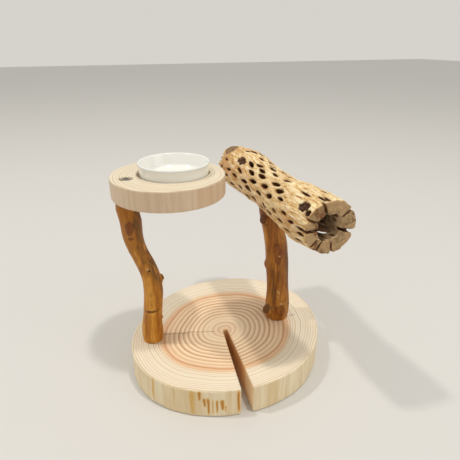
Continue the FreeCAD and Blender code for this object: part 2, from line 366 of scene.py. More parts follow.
def base_growth(points):
    """How far out in the log a point lies: 0 at the pith and 1 at the rim."""
    distance = from_centre(points, PITH)
    way = (points[..., :2] - np.array(PITH)) / np.maximum(distance, 1e-6)[..., None]
    reach = np.full(distance.shape, BASE_RADIUS)
    for _ in range(6):
        tip = np.array(PITH) + way * reach[..., None]
        reach = reach + base_rim(heading_of(tip)) - from_centre(tip, (0, 0))
    rounder = BASE_RADIUS + (reach - BASE_RADIUS) * np.sqrt(np.clip(distance / reach, 0, 1))
    return distance / rounder


def kerf_gap(points):
    """Distance to the sawn wedge, negative in it."""
    out = points[..., :2] - np.array(PITH)
    along = out[..., 0] * math.cos(KERF_HEADING) + out[..., 1] * math.sin(KERF_HEADING)
    across = out[..., 1] * math.cos(KERF_HEADING) - out[..., 0] * math.sin(KERF_HEADING)
    width = KERF_WIDTH_AT_PITH + (KERF_WIDTH_AT_RIM - KERF_WIDTH_AT_PITH) * along / KERF_LENGTH
    wedge = np.abs(across) - width / 2
    inner_end = np.hypot(along, across) - KERF_WIDTH_AT_PITH / 2
    return np.where(along > 0, wedge, inner_end)


def drilled(points, place):
    """Distance to a screw's counterbore, negative in it, measured across the hole only."""
    return from_centre(points, place) - COUNTERBORE_RADIUS


def base_side(points):
    """Distance to the peeled side of the log, with the shallow flutes that bark leaves."""
    flutes = 0.22 * ripple(points, 16, 1, (1, 1, 5)) + 0.06 * ripple(points, 5, 2, (1, 1, 4))
    return from_centre(points, (0, 0)) - base_rim(heading_of(points)) - flutes + BARK_INSET


def base_field(points):
    """The slab: side, flat faces, kerf and the two counterbores in its underside."""
    half = BASE_THICKNESS / 2
    flat = np.abs(points[..., 2] - half) - half
    solid = smooth_max(base_side(points), flat, BASE_EDGE_ROUND)
    solid = smooth_max(solid, -kerf_gap(points), 1.0)
    for place in (SHELF_POST_SCREW, PERCH_POST_SCREW):
        bore = np.maximum(drilled(points, place), points[..., 2] - BASE_COUNTERBORE_DEPTH)
        solid = np.maximum(solid, -bore)
    return solid


def base_stains(points):
    """The strength of the orange-brown runs on the side."""
    heading = heading_of(points)
    total = np.zeros(heading.shape)
    waver = 0.6 * ripple(points, 10, 5, (1, 1, 1.5))
    for degrees, top, bottom, half_width, strength in BASE_STAINS:
        across = turn_between(heading, math.radians(degrees)) * BASE_RADIUS + waver
        height = (points[..., 2] - bottom) / (top - bottom)
        narrowing = half_width * (0.6 + 0.4 * np.clip(height, 0, 1))
        inside = np.exp(-((across / narrowing) ** 2))
        ends = step(height, -0.15, 0.2) * (1 - step(height, 0.85, 1.15))
        total = np.maximum(total, strength * inside * ends)
    return total


def base_marks(points):
    """Growth and the kinds of surface: 1 on the peeled side, 1 on the kerf's walls."""
    on_flat = np.minimum(points[..., 2], BASE_THICKNESS - points[..., 2])
    side = step(-base_side(points), 1.6, 0.5) * step(on_flat, 0.3, 1.3)
    kerf = step(kerf_gap(points), 0.7, 0.3) * step(on_flat, 0.2, 0.9)
    stains = base_stains(points) * step(-base_side(points), 3.0, 1.0)
    return {"growth": base_growth(points), "side": side, "kerf": kerf, "stain": stains}


def base(material):
    """The slice of log."""
    reach = BASE_RADIUS + sum(height for _, height, _ in BASE_LOBES) + 1
    low, high = (-reach, -reach, 0), (reach, reach, BASE_THICKNESS)
    carve("base_log", base_field, base_marks, low, high, 1.0, material, "base_wood", "base_slab")


# ---- shelf


def shelf_field(points):
    """The turned disc with the dish's recess and the screw's counterbore."""
    height = points[..., 2] - (SHELF_TOP - SHELF_THICKNESS / 2)
    flat = np.abs(height) - SHELF_THICKNESS / 2
    solid = smooth_max(from_centre(points, SHELF_CENTRE) - SHELF_RADIUS, flat, 1.6)
    below_top = SHELF_TOP - points[..., 2]
    recess = np.maximum(from_centre(points, RECESS_CENTRE) - RECESS_RADIUS, below_top - RECESS_DEPTH)
    solid = smooth_max(solid, -recess, 0.8)
    bore = np.maximum(drilled(points, SHELF_SCREW), below_top - SHELF_COUNTERBORE_DEPTH)
    return smooth_max(solid, -bore, 0.6)


def shelf_marks(points):
    """Growth, and 1 on the disc's side."""
    distance = from_centre(points, SHELF_CENTRE)
    side = step(distance, SHELF_RADIUS - 1.5, SHELF_RADIUS - 0.4)
    on_top = step(SHELF_TOP - points[..., 2], 0.3, 1.3)
    grain = from_centre(points, (SHELF_CENTRE[0] + 5, SHELF_CENTRE[1] - 4)) / SHELF_RADIUS
    return {"growth": grain, "side": side * on_top}


def shelf(material):
    """The disc that carries the dish."""
    x, y = SHELF_CENTRE
    low = (x - SHELF_RADIUS, y - SHELF_RADIUS, SHELF_TOP - SHELF_THICKNESS)
    high = (x + SHELF_RADIUS, y + SHELF_RADIUS, SHELF_TOP)
    carve("shelf", shelf_field, shelf_marks, low, high, 0.7, material, "shelf_wood", "shelf_disc")


def rounded(corners, steps=5):
    """An outline with each corner replaced by a curve: corners are (x, y, radius)."""
    line = []
    for i, (x, y, radius) in enumerate(corners):
        here = Vector((x, y))
        if radius == 0:
            line.append((x, y))
            continue
        before = (Vector(corners[i - 1][:2]) - here).normalized()
        after = (Vector(corners[(i + 1) % len(corners)][:2]) - here).normalized()
        for k in range(steps + 1):
            t = k / steps
            point = here + before * radius * (1 - t) ** 2 + after * radius * t**2
            line.append((point.x, point.y))
    return line


def dish(material):
    """The glazed dish: a profile turned round its upright axis."""
    profile = rounded(
        (
            (0, DISH_FOOT_RECESS, 0),
            (DISH_FOOT_RADIUS - DISH_FOOT_RING - 0.6, DISH_FOOT_RECESS, 0.6),
            (DISH_FOOT_RADIUS - DISH_FOOT_RING, 0, 0.5),
            (DISH_FOOT_RADIUS, 0, 1.2),
            (DISH_RIM_RADIUS - 0.7, DISH_HEIGHT - 3.4, 2.0),
            (DISH_RIM_RADIUS, DISH_HEIGHT - 2.2, 0.6),
            (DISH_RIM_RADIUS, DISH_HEIGHT, 0.9),
            (DISH_RIM_RADIUS - DISH_LIP, DISH_HEIGHT, 0.8),
            (DISH_RIM_RADIUS - DISH_WALL, DISH_HEIGHT - 3.0, 2.0),
            (DISH_FLOOR_RADIUS, DISH_FLOOR, 3.2),
            (0, DISH_FLOOR, 0),
        )
    )
    around = 144
    radius, height = np.array(profile).T[..., None]
    turn = 2 * math.pi * np.arange(around) / around
    x = DISH_CENTRE[0] + radius * np.cos(turn)
    y = DISH_CENTRE[1] + radius * np.sin(turn)
    z = SHELF_TOP - RECESS_DEPTH + height + 0 * turn
    vertices = np.stack((x, y, z), -1).reshape(-1, 3)
    faces = []
    for row in range(len(profile) - 1):
        for k in range(around):
            here, after = row * around + k, row * around + (k + 1) % around
            faces.append((here, after, after + around, here + around))
    piece = new_piece("dish_glazed", vertices, faces, LOOSE, "white_glaze", material, "dish")
    weld = piece.modifiers.new("close the axis", "WELD")
    weld.merge_threshold = 0.00001
    return piece


# ---- posts


class Post:
    """A peeled branch: circles measured on its CAD node, stub branches, dents and colour patches."""

    def __init__(self, node, low, high, stubs, lumps, grooves, patches):
        self.node = node
        self.low = low
        self.high = high
        self.stubs = stubs
        self.lumps = lumps
        self.grooves = grooves
        self.patches = patches
        self.heights = np.arange(low + 1.5, high - 0.5, 6.0)
        self.circles = np.array([slice_circle(node, height) for height in self.heights])

    def around(self, points):
        """Distance from the branch's centre line, its radius there, and the heading round it."""
        x, y, radius = (np.interp(points[..., 2], self.heights, c) for c in self.circles.T)
        across, along = points[..., 0] - x, points[..., 1] - y
        return np.hypot(across, along), radius, np.arctan2(along, across)

    def spot(self, points, heading, height, half_width, half_height):
        """1 at a place on the surface, 0 at the edge of an ellipse about it, and below 0 past it."""
        _, radius, angle = self.around(points)
        across = turn_between(angle, math.radians(heading)) * radius / half_width
        up = (points[..., 2] - height) / half_height
        return 1 - np.hypot(across, up)

    def field(self, points):
        """The branch's surface, before it is cut to length."""
        distance, radius, angle = self.around(points)
        flutes = 0.30 * ripple(points, 9, 11, (1, 1, 5)) + 0.12 * ripple(points, 4, 12, (1, 1, 6))
        oval = 0.25 * np.cos(2 * angle + points[..., 2] / 40)
        solid = distance - radius - flutes - oval
        for place in self.stubs:
            solid = smooth_min(solid, stub(points, *place), 3.0)
        for *place, rise in self.lumps:
            solid = solid - rise * step(self.spot(points, *place), 0, 1)
        for *place, depth in self.grooves:
            solid = solid + depth * np.sqrt(np.clip(self.spot(points, *place), 0, 1))
        return solid

    def marks(self, points):
        """The colour patches, each kind as one value that is 1 at its heart and 0 outside."""
        # One kind of patch is a painted shadow, not a colour of the wood.
        kinds = {kind: np.zeros(len(points)) for kind in ("painted_shelf_shadow", "band", "knot", "pale", "crack", "cut")}
        waver = 0.25 * ripple(points, 6, 13, (1, 1, 2))
        for kind, *place in self.patches:
            kinds[kind] = np.maximum(kinds[kind], step(self.spot(points, *place) + waver, 0.0, 0.45))
        for foot, way, _, tip_radius, length in self.stubs:
            along, reach = along_stub(points, foot, way)
            cut = step(along, length - 1.2, length - 0.5) * step(reach, tip_radius + 1.4, tip_radius + 0.6)
            kinds["cut"] = np.maximum(kinds["cut"], cut)
        return kinds


def slice_circle(node, height):
    """Centre and radius of an upright post at a height, from rays sent outwards in its CAD mesh."""
    low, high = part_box(node)
    centre = (low + high) / 2
    x, y = centre.x, centre.y
    mesh = bpy.data.objects[node]
    rays = 48
    start = 0.1
    for _ in range(8):
        hits = []
        for k in range(rays):
            angle = 2 * math.pi * k / rays
            outside = Vector((x + start * math.cos(angle), y + start * math.sin(angle), height * MM))
            way = Vector((-math.cos(angle), -math.sin(angle), 0))
            found, place, _, _ = mesh.ray_cast(outside, way)
            if found:
                hits.append((place.x, place.y))
        hits = np.array(hits)
        matrix = np.c_[2 * hits, np.ones(len(hits))]
        keep = np.ones(len(hits), bool)
        for _ in range(3):
            answer = np.linalg.lstsq(matrix[keep], (hits[keep] ** 2).sum(1), rcond=None)[0]
            radius = math.sqrt(answer[2] + answer[0] ** 2 + answer[1] ** 2)
            miss = np.abs(np.hypot(hits[:, 0] - answer[0], hits[:, 1] - answer[1]) - radius)
            keep = miss <= max(np.median(miss) * 2.5, 0.0002)
        x, y = answer[0], answer[1]
    return x / MM, y / MM, radius / MM


def along_stub(points, foot, way):
    """How far along a stub points lie, and how far from its centre line."""
    way = np.array(way) / np.linalg.norm(way)
    out = points - np.array(foot)
    along = out @ way
    return along, np.linalg.norm(out - along[..., None] * way, axis=-1)


def stub(points, foot, way, foot_radius, tip_radius, length):
    """Distance to a sawn-off side branch: a tapered bar with a rounded end."""
    along, distance = along_stub(points, foot, way)
    share = np.clip(along / length, 0, 1)
    radius = foot_radius + (tip_radius - foot_radius) * share
    return smooth_max(smooth_max(distance - radius, along - length, 1.6), -along - 4, 1.0)


def post_piece(name, post, slot, material, cut):
    """One post: its field cut to length by the planes or surfaces that cut() adds."""
    low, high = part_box(post.node)
    low = np.array(low) / MM - 3
    high = np.array(high) / MM + 3
    low[2], high[2] = post.low, post.high

    def field(points):
        ends = np.maximum(post.low - points[..., 2], points[..., 2] - post.high)
        return cut(smooth_max(post.field(points), ends, 1.4), points)

    carve(name, field, post.marks, low, high, 0.6, material, slot, post.node)


def shelf_post(material):
    """The left post, which bends outwards on its way up to the shelf."""
    post = Post(
        "shelf_post",
        low=BASE_THICKNESS - POST_SUNK,
        high=SHELF_TOP - SHELF_THICKNESS + POST_SUNK,
        stubs=(((-70.0, 4.0, 101.0), (0.90, -0.10, 0.42), 4.6, 2.6, 6.5),),
        lumps=(
            (-113, 161.0, 6.5, 11.0, 0.7),
            (-95, 116.0, 3.0, 3.2, 0.9),
            (-30, 58.5, 3.5, 3.0, 1.1),
            (-115, 70.5, 16.0, 9.0, 0.5),
            (-20, 128.0, 6.0, 14.0, 0.6),
        ),
        grooves=(
            (-96, 70.6, 7.0, 0.8, 0.7),
            (-116, 161.0, 3.0, 6.0, 0.5),
            (-114, 148.8, 3.0, 0.8, 0.4),
            (-88, 116.2, 1.2, 1.3, 1.2),
        ),
        patches=(
            # Painted shadow of the shelf over the top of the post: this patch darkens the wood there.
            ("painted_shelf_shadow", -100, 180.0, 27.0, 84.0),
            ("knot", -113, 160.5, 4.2, 7.6),
            ("knot", -119, 149.6, 1.6, 1.6),
            ("knot", -106, 150.4, 1.8, 1.2),
            ("crack", -108, 70.1, 4.4, 0.6),
            ("crack", -86, 71.4, 4.6, 0.8),
            ("knot", -112, 69.8, 8.0, 1.3),
            ("crack", -88, 116.2, 1.3, 1.4),
            ("pale", -96, 118.2, 1.8, 1.3),
            ("band", -52, 158.0, 6.0, 34.0),
            ("band", -58, 124.0, 7.5, 26.0),
            ("band", -46, 96.0, 3.5, 24.0),
        ),
    )
    post_piece("shelf_post_branch", post, "shelf_post_wood", material, lambda solid, points: solid)


def perch_post(material):
    """The right post, coped to the underside of the perch."""
    post = Post(
        "perch_post",
        low=BASE_THICKNESS - POST_SUNK,
        high=float(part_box("perch_post")[1].z / MM),
        stubs=(
            ((54.0, -7.0, 39.5), (-0.84, -0.25, 0.55), 7.0, 5.0, 12.0),
            ((50.0, -1.0, 146.0), (-0.84, -0.22, 0.46), 6.6, 4.6, 12.0),
        ),
        lumps=(
            (-108, 113.0, 7.0, 12.0, 0.9),
            (-97, 49.0, 8.0, 13.0, 1.1),
            (-202, 96.0, 3.0, 8.0, 1.9),
            (-30, 126.0, 9.0, 18.0, 0.6),
        ),
        grooves=(
            (-110, 109.0, 3.0, 4.0, 0.6),
            (-98, 47.0, 3.4, 5.0, 0.7),
        ),
        patches=(
            ("knot", -112, 114.0, 5.6, 13.0),
            ("knot", -109, 109.0, 4.0, 4.5),
            ("knot", -100, 45.0, 6.6, 10.0),
            ("pale", -104, 111.0, 1.6, 1.5),
            ("pale", -99, 53.5, 2.0, 1.4),
            ("pale", -118, 68.5, 0.9, 2.2),
            ("pale", -110, 66.5, 0.9, 2.2),
            ("pale", -116, 61.5, 0.8, 1.6),
            ("band", -55, 90.0, 3.5, 46.0),
            ("band", -140, 70.0, 3.0, 30.0),
        ),
    )

    def cope(solid, points):
        sunk = 1.0
        reach = perch_polar(points)[0]
        return np.maximum(solid, perch_radius(points[..., 1]) - sunk - reach)

    post_piece("perch_post_branch", post, "perch_post_wood", material, cope)


# ---- perch


def along_perch(values, along):
    """A smooth curve through values at even steps along the branch."""
    steps = len(values) - 1
    place = np.clip((along / PERCH_HALF_LENGTH + 1) / 2 * steps, 0, steps)
    index = np.clip(place.astype(int), 0, steps - 1)
    share = place - index
    padded = np.array((2 * values[0] - values[1], *values, 2 * values[-1] - values[-2]))
    before, here, after, later = (padded[index + k] for k in range(4))
    rise = (after - before) / 2
    next_rise = (later - here) / 2
    bow = 3 * (after - here) - 2 * rise - next_rise
    return here + share * (rise + share * (bow + share * (rise + next_rise - 2 * (after - here))))


def perch_radius(along):
    """The cholla branch's outside radius, before its surface detail."""
    return PERCH_RADIUS * along_perch(PERCH_SWELL, np.asarray(along, float))


def perch_polar(points):
    """Distance from the branch's bent centre line, and the angle round it, up from +X."""
    bend = along_perch(PERCH_BEND, points[..., 1])
    across = points[..., 0] - PERCH_X - bend * math.cos(PERCH_BEND_ANGLE)
    up = points[..., 2] - PERCH_Z - bend * math.sin(PERCH_BEND_ANGLE)
    return np.hypot(across, up), np.arctan2(up, across)


def oval(points, heading, place, margin=0.0):
    """Distance over the perch from an oval's middle, as a share of its half size and the margin."""
    along, degrees, half_length, half_width = place
    across = turn_between(heading, math.radians(degrees)) * PERCH_RADIUS / (half_width + margin)
    return np.hypot((points[..., 1] - along) / (half_length + margin), across)


Hole = namedtuple("Hole", "along angle half_length half_width tilt depth")


def perch_holes():
    """Every lens-shaped hole in the branch."""
    rng = np.random.default_rng(HOLE_SEED)
    through = PERCH_RADIUS
    holes = []

    def add(along, degrees, half_length, half_width, depth=through):
        tilt = math.radians(rng.uniform(-9, 9))
        holes.append(Hole(along, math.radians(degrees), half_length, half_width, tilt, depth))

    def near(along, degrees, places, reach):
        """Whether a place lies within a distance of others, which are longer than they are wide."""
        for place in places:
            turned = turn_between(math.radians(degrees), math.radians(place[1])) * PERCH_RADIUS
            if math.hypot((along - place[0]) * 0.62, turned) < reach:
                return True
        return False

    for along, degrees in BIG_HOLES:
        add(along, degrees, 7.4 * rng.uniform(0.85, 1.1), 2.0 * rng.uniform(0.85, 1.15))
    for along, degrees, half_length, half_width in (*CRACKS, DAYLIGHT_HOLE):
        add(along, degrees, half_length, half_width)
    for index in range(int(2 * PERCH_HALF_LENGTH / HOLE_STEP)):
        along = FIRST_HOLE_Y + index * HOLE_STEP + rng.uniform(-2.4, 2.4)
        degrees = math.degrees(FIRST_HOLE_ANGLE + index * HOLE_TURN) % 360 + rng.uniform(-5, 5)
        size = rng.uniform(0.8, 1.2) * (0.72 + 0.28 * math.exp(-((along / 55) ** 2)))
        depth = through if rng.random() > 0.15 else 2.4
        over_post = abs(along - PERCH_POST_Y) < 18 and 230 < degrees < 310
        in_the_way = near(along, degrees, BIG_HOLES, 6.0) or near(along, degrees, KNOTS, 9.0)
        at_scar = near(along, degrees, (SCAR,), 13.0) or near(along, degrees, (DAYLIGHT_HOLE,), 9.0)
        at_smooth = near(along, degrees, (SMOOTH_PLACE,), 12.5)
        if not (over_post or in_the_way or at_scar or at_smooth):
            add(along, degrees, 6.6 * size, 1.5 * size, depth)
    for degrees, half_length, half_width in NEAR_SLITS:
        add(-PERCH_HALF_LENGTH - 1, degrees, half_length + 1, half_width)
    for index in range(8):
        add(PERCH_HALF_LENGTH + 1, 45 * index + rng.uniform(-7, 7), 6.0, 0.8)
    return holes


def hole_place(points, hole, polar):
    """Places along and across a hole, each as a share of its half length and half width."""
    distance, heading = polar
    down = points[..., 1] - hole.along
    across = turn_between(heading, hole.angle) * np.clip(distance, BORE_RADIUS, None)
    u = (down * math.cos(hole.tilt) + across * math.sin(hole.tilt)) / hole.half_length
    v = (across * math.cos(hole.tilt) - down * math.sin(hole.tilt)) / hole.half_width
    return u, v


def hole_gap(points, hole, polar):
    """Distance to a hole's wall across the surface, negative in the hole. Its two tips are rounded."""
    u, v = hole_place(points, hole, polar)
    return (np.sqrt(v * v + 0.04) + u * u - 1.02) * hole.half_width


def hole_part(axes, hole):
    """The part of a grid of points that a hole and its rim reach."""
    out = PERCH_RADIUS * 0.8
    past_sides, past_tips = 15, 6
    middle = (PERCH_X + math.cos(hole.angle) * out, hole.along, PERCH_Z + math.sin(hole.angle) * out)
    part = []
    for line, place, half in zip(axes, middle, (past_sides, hole.half_length + past_tips, past_sides)):
        found = np.flatnonzero(np.abs(line - place) <= half)
        part.append(slice(found[0], found[-1] + 1))
    return tuple(part)


def perch_outside(points, polar):
    """Distance to the weathered outside, without holes: it swells under the scar and at the knots."""
    distance, heading = polar
    bumps = 0.60 * ripple(points, 19, 33, (1, 1.5, 1)) + 0.38 * ripple(points, 7, 34, (1, 2.0, 1))
    fibres = 0.20 * ripple(points, 2.8, 38, (1, 5, 1))
    lump = SCAR_LUMP * np.exp(-(oval(points, heading, SCAR) ** 2))
    from_end = (points[..., 1] + PERCH_HALF_LENGTH) / NEAR_FLARE_LENGTH
    lump = lump + NEAR_FLARE * np.exp(-(from_end**2)) * np.clip(np.cos(heading - NEAR_FLARE_ANGLE), 0, 1)
    for knot in KNOTS:
        lump = lump + KNOT_LUMP * np.exp(-(oval(points, heading, knot, KNOT_LUMP_MARGIN) ** 2))
    return distance - perch_radius(points[..., 1]) - bumps - fibres - lump + FIBRE_INSET


def scar_height(points, polar):
    """Height over the flat, slightly hollow face of the scar."""
    distance, heading = polar
    along, degrees, half_length, _ = SCAR
    turned = turn_between(heading, math.radians(degrees))
    height = distance * np.cos(np.clip(turned, -1.5, 1.5))
    share = (points[..., 1] - along) / half_length
    return height - perch_radius(along) - SCAR_FACE_HEIGHT - SCAR_HOLLOW * share * share


def perch_knot(solid, points, knot, polar):
    """A field with a knot's oval hollow scooped out of it."""
    along, degrees, half_length, half_width = knot
    distance, heading = polar
    across = turn_between(heading, math.radians(degrees)) * distance / half_width
    height = (distance - perch_radius(along) - 1.0) / KNOT_HOLLOW
    bumps = 0.24 * ripple(points, 5.5, 31) + 0.10 * ripple(points, 2.4, 32)
    reach = np.sqrt(((points[..., 1] - along) / half_length) ** 2 + across**2 + height**2)
    return smooth_max(solid, -(reach - 1 + bumps) * half_width, 0.8)


def perch_field(points):
    """The hollow branch with its net of fibres round the holes, knots, scar and split ends."""
    polar = distance, heading = perch_polar(points)
    outside = perch_outside(points, polar)
    ragged = 0.22 * ripple(points, 3.4, 37, (1, 1.6, 1))
    axes = [points[:, 0, 0, 0], points[0, :, 0, 1], points[0, 0, :, 2]]
    holes = []
    nearest = np.full(distance.shape, 9.0)
    for hole in perch_holes():
        part = hole_part(axes, hole)
        gap = hole_gap(points[part], hole, (distance[part], heading[part])) + ragged[part]
        nearest[part] = np.minimum(nearest[part], gap)
        rounding = PETAL_ROUNDING if abs(hole.along) > PERCH_HALF_LENGTH else RIM_ROUNDING
        holes.append((part, gap, hole.depth, rounding))
    dip = RIM_DIP * np.exp(-((np.clip(nearest, 0, None) / RIM_DIP_WIDTH) ** 2))
    bore = BORE_RADIUS + 1.1 * ripple(points, 11, 35, (1, 2.5, 1))
    solid = smooth_max(outside + dip, bore - distance, 2.0)
    solid = smooth_max(solid, scar_height(points, polar), 0.5)
    ends = np.abs(points[..., 1]) - PERCH_HALF_LENGTH + PERCH_END_INSET
    ends = ends + 0.25 * ripple(points, 7, 36)
    solid = smooth_max(solid, ends, 0.9)
    for part, gap, depth, rounding in holes:
        wall = np.maximum(gap, (-outside[part] - depth) * 0.8)
        solid[part] = smooth_max(solid[part], -wall, rounding)
    for knot in KNOTS:
        solid = perch_knot(solid, points, knot, polar)
    driver = from_centre(points, (PERCH_X, PERCH_POST_Y)) - DRIVER_HOLE_RADIUS
    driver = np.maximum(driver, PERCH_Z - points[..., 2])
    return smooth_max(solid, -driver, 0.8)


def perch_marks(points):
    """What the cholla's colours go by: depth, hole rims, sawn ends, knots, the scar and tan patches. Depth,
    the hole rims and the near mark carry painted shade in and round the holes.

    weave is the place across the fibres in millimetres: they part to pass round each hole. petal is 1
    on the left-hand petals of the sawn ends, which are painted darker: painted shade, with a redder tone."""
    polar = distance, heading = perch_polar(points)
    depth = np.clip(-perch_outside(points, polar), 0, None)
    nearest = np.full(len(points), 9.0)
    weave = turn_between(heading, math.radians(90)) * PERCH_RADIUS
    for hole in perch_holes():
        u, v = hole_place(points, hole, polar)
        facing = np.cos(heading - hole.angle) > 0
        gap = np.where(facing, hole_gap(points, hole, polar), 9.0)
        nearest = np.minimum(nearest, gap)
        parting = np.exp(-0.8 * u * u) * np.exp(-np.clip(np.abs(v) - 1, 0, None) / 1.6)
        weave = weave - np.sign(v) * parting * hole.half_width * 1.3 * facing
    dark, tan = np.zeros(len(points)), np.zeros(len(points))
    for knot in KNOTS:
        dark = np.maximum(dark, step(oval(points, heading, knot), 1.25, 0.95) * step(depth, 0.6, 1.3))
    for *place, strength in TAN_PATCHES:
        tan = np.maximum(tan, strength * np.exp(-(oval(points, heading, place) ** 2)))
    sawn = PERCH_HALF_LENGTH - PERCH_END_INSET
    return {
        # Painted shade: depth browns the hole walls, rim darkens the hole edges, and near darkens the wood
        # towards them.
        "depth": depth,
        "rim": step(nearest, 0.75, 0.1),
        "near": np.exp(-((np.clip(nearest, 0, None) / RIM_DIP_WIDTH) ** 2)),
        "weave": weave,
        "cut": step(np.abs(points[:, 1]), sawn - 1.0, sawn - 0.5),
        # Painted shade on the left-hand petals of the sawn ends.
        "petal_painted_shade": step(np.cos(heading - PETAL_PAINTED_SHADE_ANGLE), -0.2, 0.8),
        "knot": dark,
        "scar": step(scar_height(points, polar), -0.5, -0.1) * step(oval(points, heading, SCAR), 1.5, 1.2),
        "tan": tan,
        # bore marks where the material paints light into the bore.
        "bore": step(distance, BORE_RADIUS + 3.5, BORE_RADIUS + 1.5),
    }


def perch(material):
    """The cholla branch."""
    reach = PERCH_RADIUS * max(PERCH_SWELL) + 4
    low = (PERCH_X - reach, -PERCH_HALF_LENGTH - 0.5, PERCH_Z - reach)
    high = (PERCH_X + reach, PERCH_HALF_LENGTH + 0.5, PERCH_Z + reach)
    carve("perch_cholla", perch_field, perch_marks, low, high, 0.8, material, "cactus_wood", "perch_tube")


# ---- materials


class Value:
    """A number that nodes work out. It adds, subtracts and multiplies as a plain one does."""

    def __init__(self, surface, socket):
        self.surface = surface
        self.socket = socket

    def __add__(self, other):
        return self.surface.math("ADD", self, other)

    def __sub__(self, other):
        return self.surface.math("SUBTRACT", self, other)

    def __mul__(self, other):
        return self.surface.math("MULTIPLY", self, other)

    def rise(self, start, end, height=1.0):
        """0 before start and the height after end, smoothly. It falls where end is before start."""
        limits = (start, end, 0.0, height) if start < end else (end, start, height, 0.0)
        inputs = zip(("Value", "From Min", "From Max", "To Min", "To Max"), (self, *limits))
        node = self.surface.node("MapRange", inputs, interpolation_type="SMOOTHSTEP")
        return Value(self.surface, node.outputs["Result"])


class Surface:
    """A material's node tree. Its colours are (red, green, blue) as on a screen, 0 to 255 a channel."""

    def __init__(self, name):
        self.material = bpy.data.materials.new(name)
        self.material.use_nodes = True
        self.tree = self.material.node_tree
        self.tree.nodes.clear()
        self.place = self.node("TexCoord").outputs["Object"]

    def node(self, kind, inputs=(), **settings):
        """A new node with its properties set and its inputs, by name or number, filled or linked."""
        node = self.tree.nodes.new("ShaderNode" + kind)
        for name, setting in settings.items():
            setattr(node, name, setting)
        for name, value in dict(inputs).items():
            socket = node.inputs[name]
            source = value.socket if isinstance(value, Value) else value
            if isinstance(source, bpy.types.NodeSocket):
                self.tree.links.new(source, socket)
            else:
                socket.default_value = colour(*value) if socket.type == "RGBA" else value
        return node

    def mark(self, name):
        """A value that the mesh carries."""
        return Value(self, self.node("Attribute", attribute_name=name).outputs["Fac"])

    def math(self, operation, *values):
        """One step of arithmetic."""
        return Value(self, self.node("Math", enumerate(values), operation=operation).outputs[0])

    def parts(self, vector):
        """A vector's x, y and z."""
        return [Value(self, part) for part in self.node("SeparateXYZ", {0: vector}).outputs]

    def noise(self, stretch, scale, detail, roughness=0.5, distortion=0.0):
        """Smooth noise of 0 to 1 over a vector, or over the place on the object, stretched by axis."""
        if isinstance(stretch, tuple):
            stretch = self.node("Mapping", {"Vector": self.place, "Scale": stretch}).outputs[0]
        inputs = {"Vector": stretch, "Scale": scale, "Detail": detail, "Roughness": roughness}
        inputs["Distortion"] = distortion
        return Value(self, self.node("TexNoise", inputs).outputs["Fac"])

    def ramp(self, value, *stops):
        """Colours along a value: stops are (position, red, green, blue)."""
        node = self.node("ValToRGB", {"Fac": value})
        points = node.color_ramp.elements
        while len(points) < len(stops):
            points.new(0.5)
        for point, (position, *shade) in zip(points, stops):
            point.position = position
            point.color = colour(*shade)
        return node.outputs["Color"]

    def mix(self, shade, *layers):
        """A colour with others laid over it in turn: layers are (share, colour)."""
        for share, over in layers:
            # The node's numbers, vectors and colours share their names, so its sockets go by number.
            shade = self.node("Mix", {0: share, 6: shade, 7: over}, data_type="RGBA").outputs[2]
        return shade

    def bump(self, height, strength, distance):
        """A bump in the surface: height times distance, in metres."""
        return self.node("Bump", {"Strength": strength, "Distance": distance, "Height": height}).outputs[0]

    def finish(self, base, roughness, inputs=()):
        """The material, with a shader of that colour, roughness and other inputs."""
        shader = self.node("BsdfPrincipled", {"Base Color": base, "Roughness": roughness, **dict(inputs)})
        self.node("OutputMaterial", {"Surface": shader.outputs["BSDF"]})
        return self.material


def rings(surface, growth, inner, outer, seed):
    """Annual rings as a value of 0 to 1 in the late wood, of uneven width and strength.

    inner and outer are how many rings a whole radius would hold in the heartwood and the sapwood."""
    wander = surface.noise((1, 1, 0.2), 26 + seed, 3)
    width = surface.noise((1, 1, 0.2), 9 + seed, 2)
    place = growth + wander * 0.035
    past_heart = surface.math("MAXIMUM", place - HEARTWOOD_SHARE, 0.0)
    phase = place * inner + past_heart * (outer - inner) + width * 2.0
    saw = surface.math("FRACT", phase)
    year = surface.node("TexWhiteNoise", {"W": surface.math("FLOOR", phase)}, noise_dimensions="1D")
    strength = Value(surface, year.outputs["Value"]) * 0.65 + 0.35
    return saw.rise(0.15, 0.88) * saw.rise(1.0, 0.90) * strength


def check_and_painted_shadow_lines(surface):
    """1 along the thin drying check that runs out from the pith, and along a thin painted shadow further out
    beside the right post.
    """
    waver = (surface.noise((1, 1, 0.2), 70, 2) - 0.5) * (CHECK_WAVER * MM)
    total = 0.0
    for degrees, start, end, half_width in CHECK_AND_PAINTED_SHADOW_LINES:
        inputs = {"Vector": surface.place, "Location": (PITH[0] * MM, PITH[1] * MM, 0)}
        inputs["Rotation"] = (0, 0, math.radians(degrees))
        turned = surface.node("Mapping", inputs, vector_type="TEXTURE")
        along, across, _ = surface.parts(turned.outputs[0])
        off = surface.math("ABSOLUTE", across + waver)
        line = off.rise(half_width * 1.4 * MM, half_width * 0.5 * MM)
        line = line * along.rise(start * MM, (start + 14) * MM) * along.rise((end + 1) * MM, (end - 2) * MM)
        total = surface.math("MAXIMUM", line, total)
    return total


